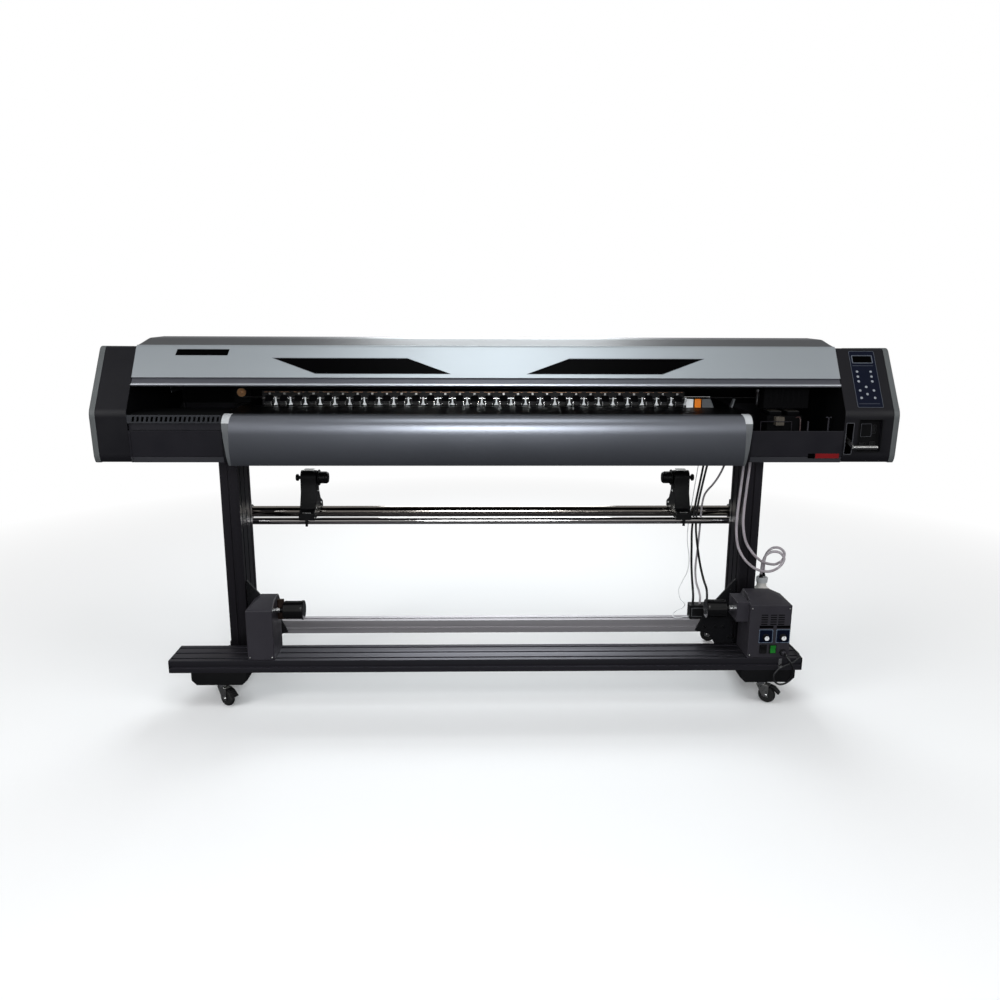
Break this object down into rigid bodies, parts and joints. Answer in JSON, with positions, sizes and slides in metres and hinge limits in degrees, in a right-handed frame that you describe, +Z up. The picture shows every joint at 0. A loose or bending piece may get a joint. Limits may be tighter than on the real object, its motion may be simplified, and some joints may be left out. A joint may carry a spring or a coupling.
{
  "type": "printer cutter",
  "caption": "Wide roll-to-roll sign printer and sheet cutter on a wheeled stand, with sloping lid, curved apron, roll holders and a motor take-up.",
  "frame": {"origin": "on the floor, under the middle of the machine's width and depth", "axes": "+X to the right seen from the front, +Y to the back, +Z up"},
  "size_m": [2.74, 0.71, 1.313],
  "materials": {
    "shell_dark": "satin",
    "lid_silver": "satin",
    "trim_grey": "satin",
    "extrusion_dark": "satin",
    "extrusion_clear": "satin",
    "bar_chrome": "polished",
    "black_plastic": "matte",
    "zinc_steel": "satin",
    "rubber_black": "matte",
    "brass_pulley": "satin",
    "switch_green": "gloss",
    "gloss_black": "gloss",
    "milky_plastic": "satin",
    "hose_grey": "satin",
    "panel_blue": "satin",
    "label_red": "satin",
    "card_orange": "matte",
    "clear_cover": "gloss"
  },
  "bodies": {
    "frame": {"apron": "shell_dark", "louvred_panel": "shell_dark", "lower_housing": "shell_dark", "left_end_cap": "shell_dark", "right_end_cap": "shell_dark", "top_cover": "shell_dark", "left_side_trim": "trim_grey", "right_side_trim": "trim_grey", "platen": "extrusion_dark", "guide_rail": "extrusion_clear", "drive_belt": "rubber_black", "left_leg": "extrusion_dark", "right_leg": "extrusion_dark", "left_foot": "extrusion_dark", "right_foot": "extrusion_dark", "cross_beam": "extrusion_clear", "takeup_beam": "extrusion_dark", "front_media_bar": "bar_chrome", "rear_media_bar": "bar_chrome", "takeup_motor_box": "shell_dark", "waste_bottle": "milky_plastic", "power_box": "black_plastic", "waste_tube_left": "hose_grey", "waste_tube_right": "hose_grey", "power_cable_left": "rubber_black", "power_cable_right": "rubber_black", "signal_cable": "hose_grey", "sensor_wire": "milky_plastic", "takeup_cable": "rubber_black"},
    "lid": {"lid": "lid_silver"},
    "carriage": {"carriage": "black_plastic"},
    "cutter": {"cutter_holder": "zinc_steel"},
    "idler": {"idler_pulley": "brass_pulley"},
    "grit": {"grit_roller": "zinc_steel"},
    "pinch": {"pinch_bank": "black_plastic"},
    "lever": {"pinch_lever": "zinc_steel"},
    "capping": {"capping_station": "black_plastic"},
    "left_holder": {"left_roll_holder": "black_plastic"},
    "right_holder": {"right_roll_holder": "black_plastic"},
    "left_chuck": {"left_core_chuck": "black_plastic"},
    "right_chuck": {"right_core_chuck": "black_plastic"},
    "left_lock": {"left_lock_knob": "black_plastic"},
    "right_lock": {"right_lock_knob": "black_plastic"},
    "support": {"takeup_support": "shell_dark"},
    "idle_chuck": {"takeup_idle_chuck": "black_plastic"},
    "drive_chuck": {"takeup_drive_chuck": "black_plastic"},
    "speed": {"speed_knob": "black_plastic"},
    "torque": {"torque_knob": "black_plastic"},
    "direction": {"direction_rocker": "gloss_black"},
    "power": {"power_rocker": "switch_green"},
    "fork_front_left": {"fork_front_left": "zinc_steel"},
    "wheel_front_left": {"wheel_front_left": "rubber_black"},
    "fork_front_right": {"fork_front_right": "zinc_steel"},
    "wheel_front_right": {"wheel_front_right": "rubber_black"},
    "fork_rear_left": {"fork_rear_left": "zinc_steel"},
    "wheel_rear_left": {"wheel_rear_left": "rubber_black"},
    "fork_rear_right": {"fork_rear_right": "zinc_steel"},
    "wheel_rear_right": {"wheel_rear_right": "rubber_black"},
    "brake_front_left": {"brake_front_left": "zinc_steel"},
    "brake_front_right": {"brake_front_right": "zinc_steel"}
  },
  "joints": [
    {"name": "lid_hinge", "type": "hinge", "parent": "frame", "child": "lid", "pos_m": [0, -0.153, 1.2885], "axis": [-1, 0, 0], "range_deg": [0, 70]},
    {"name": "carriage_travel", "type": "slide", "parent": "frame", "child": "carriage", "axis": [-1, 0, 0], "range_m": [0, 1.88]},
    {"name": "cutter_stroke", "type": "slide", "parent": "carriage", "child": "cutter", "axis": [0, 0, -1], "range_m": [0, 0.008], "stiffness_N_per_m": 150, "springref_m": -0.004},
    {"name": "idler_spin", "type": "hinge", "parent": "frame", "child": "idler", "pos_m": [-0.945, 0.0215, 1.112], "axis": [0, 1, 0], "continuous": true},
    {"name": "grit_feed", "type": "hinge", "parent": "frame", "child": "grit", "pos_m": [0, -0.05, 1.0605], "axis": [1, 0, 0], "continuous": true},
    {"name": "lever_lift", "type": "hinge", "parent": "frame", "child": "lever", "pos_m": [1.2015, -0.25, 0.99], "axis": [-1, 0, 0], "range_deg": [0, 30]},
    {"name": "pinch_lift", "type": "hinge", "parent": "frame", "child": "pinch", "pos_m": [0, 0.004, 1.105], "axis": [-1, 0, 0], "range_deg": [0, 8]},
    {"name": "cap_lift", "type": "slide", "parent": "frame", "child": "capping", "axis": [0, 0, 1], "range_m": [0, 0.009]},
    {"name": "swivel_front_left", "type": "hinge", "parent": "frame", "child": "fork_front_left", "pos_m": [-1.002, -0.258, 0.08], "axis": [0, 0, 1], "continuous": true},
    {"name": "roll_front_left", "type": "hinge", "parent": "fork_front_left", "child": "wheel_front_left", "pos_m": [-0.9848, -0.27005, 0.031], "axis": [0.5736, 0.8192, 0], "continuous": true},
    {"name": "brake_press_front_left", "type": "hinge", "parent": "fork_front_left", "child": "brake_front_left", "pos_m": [-0.97251, -0.27865, 0.0668], "axis": [0.5736, 0.8192, 0], "range_deg": [-6, 6]},
    {"name": "swivel_front_right", "type": "hinge", "parent": "frame", "child": "fork_front_right", "pos_m": [0.98, -0.258, 0.08], "axis": [0, 0, 1], "continuous": true},
    {"name": "roll_front_right", "type": "hinge", "parent": "fork_front_right", "child": "wheel_front_right", "pos_m": [0.9972, -0.27005, 0.031], "axis": [0.5736, 0.8192, 0], "continuous": true},
    {"name": "brake_press_front_right", "type": "hinge", "parent": "fork_front_right", "child": "brake_front_right", "pos_m": [1.00949, -0.27865, 0.0668], "axis": [0.5736, 0.8192, 0], "range_deg": [-6, 6]},
    {"name": "swivel_rear_left", "type": "hinge", "parent": "frame", "child": "fork_rear_left", "pos_m": [-0.978, 0.31, 0.08], "axis": [0, 0, 1], "continuous": true},
    {"name": "roll_rear_left", "type": "hinge", "parent": "fork_rear_left", "child": "wheel_rear_left", "pos_m": [-0.99619, 0.3205, 0.031], "axis": [-0.5, -0.866, 0], "continuous": true},
    {"name": "swivel_rear_right", "type": "hinge", "parent": "frame", "child": "fork_rear_right", "pos_m": [0.947, 0.31, 0.08], "axis": [0, 0, 1], "continuous": true},
    {"name": "roll_rear_right", "type": "hinge", "parent": "fork_rear_right", "child": "wheel_rear_right", "pos_m": [0.92881, 0.3205, 0.031], "axis": [-0.5, -0.866, 0], "continuous": true},
    {"name": "left_holder_slide", "type": "slide", "parent": "frame", "child": "left_holder", "axis": [1, 0, 0], "range_m": [0, 0.58]},
    {"name": "left_chuck_spin", "type": "hinge", "parent": "left_holder", "child": "left_chuck", "pos_m": [-0.6945, 0.19, 0.756], "axis": [1, 0, 0], "continuous": true},
    {"name": "left_lock_turn", "type": "hinge", "parent": "left_holder", "child": "left_lock", "pos_m": [-0.7845, 0.19, 0.756], "axis": [1, 0, 0], "range_deg": [-180, 180]},
    {"name": "right_holder_slide", "type": "slide", "parent": "frame", "child": "right_holder", "axis": [-1, 0, 0], "range_m": [0, 0.58]},
    {"name": "right_chuck_spin", "type": "hinge", "parent": "right_holder", "child": "right_chuck", "pos_m": [0.6945, 0.19, 0.756], "axis": [1, 0, 0], "continuous": true},
    {"name": "right_lock_turn", "type": "hinge", "parent": "right_holder", "child": "right_lock", "pos_m": [0.7845, 0.19, 0.756], "axis": [1, 0, 0], "range_deg": [-180, 180]},
    {"name": "support_slide", "type": "slide", "parent": "frame", "child": "support", "axis": [1, 0, 0], "range_m": [0, 0.92]},
    {"name": "idle_chuck_spin", "type": "hinge", "parent": "support", "child": "idle_chuck", "pos_m": [-0.75, -0.23, 0.352], "axis": [1, 0, 0], "continuous": true},
    {"name": "drive_chuck_spin", "type": "hinge", "parent": "frame", "child": "drive_chuck", "pos_m": [0.81, -0.23, 0.352], "axis": [1, 0, 0], "continuous": true},
    {"name": "speed_turn", "type": "hinge", "parent": "frame", "child": "speed", "pos_m": [0.968, -0.2973, 0.266], "axis": [0, -1, 0], "range_deg": [-150, 150]},
    {"name": "torque_turn", "type": "hinge", "parent": "frame", "child": "torque", "pos_m": [1.03, -0.2973, 0.266], "axis": [0, -1, 0], "range_deg": [-150, 150]},
    {"name": "direction_tip", "type": "hinge", "parent": "frame", "child": "direction", "pos_m": [0.961, -0.2983, 0.221], "axis": [1, 0, 0], "range_deg": [-8, 8]},
    {"name": "power_tip", "type": "hinge", "parent": "frame", "child": "power", "pos_m": [0.996, -0.2983, 0.221], "axis": [1, 0, 0], "range_deg": [-8, 8]}
  ],
  "couplings": [
    {"joint": "idler_spin", "follows": "carriage_travel", "rad_per_m": -62.5},
    {"joint": "pinch_lift", "follows": "lever_lift", "ratio": 0.2666}
  ]
}
